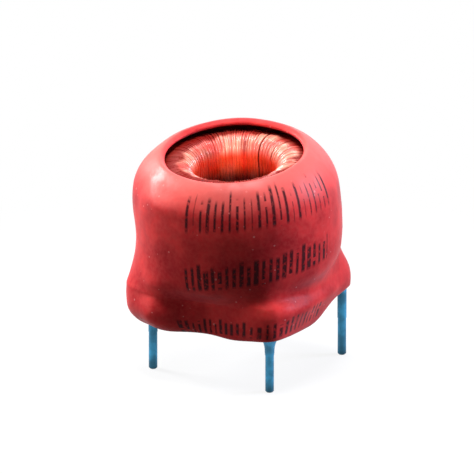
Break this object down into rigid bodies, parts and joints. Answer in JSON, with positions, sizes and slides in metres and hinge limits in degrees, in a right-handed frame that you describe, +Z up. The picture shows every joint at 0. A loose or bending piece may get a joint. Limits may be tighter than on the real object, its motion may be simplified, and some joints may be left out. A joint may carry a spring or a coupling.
{
  "type": "toroidal inductor",
  "caption": "Toroidal inductor: copper windings on a ring core, seated on a pinned header and held by a red shrink sleeve, for soldering upright into a circuit board.",
  "frame": {"origin": "middle of the square of pins, at the plane of the pin tips", "axes": "+Z up, along the pins and out through the open top; X and Y along the sides of the pin square"},
  "size_m": [0.0193, 0.0197, 0.0221],
  "materials": {
    "ferrite": "sintered, matt",
    "lower_layers": "enamelled copper, shaded",
    "enamelled_wire": "enamelled copper, glossy",
    "header": "moulded, matt",
    "tinned_pin": "tinned, satin",
    "solder": "dull solder",
    "shrink_sleeve": "heat-shrunk, semi-gloss"
  },
  "bodies": {
    "root": {"ferrite_core": "ferrite", "lower_layers_a": "lower_layers", "lower_layers_b": "lower_layers", "winding_a": "enamelled_wire", "winding_b": "enamelled_wire", "header": "header", "pin_1": "tinned_pin", "pin_2": "tinned_pin", "pin_3": "tinned_pin", "pin_4": "tinned_pin", "solder_1": "solder", "solder_2": "solder", "solder_3": "solder", "solder_4": "solder", "shrink_sleeve": "shrink_sleeve"}
  },
  "joints": []
}
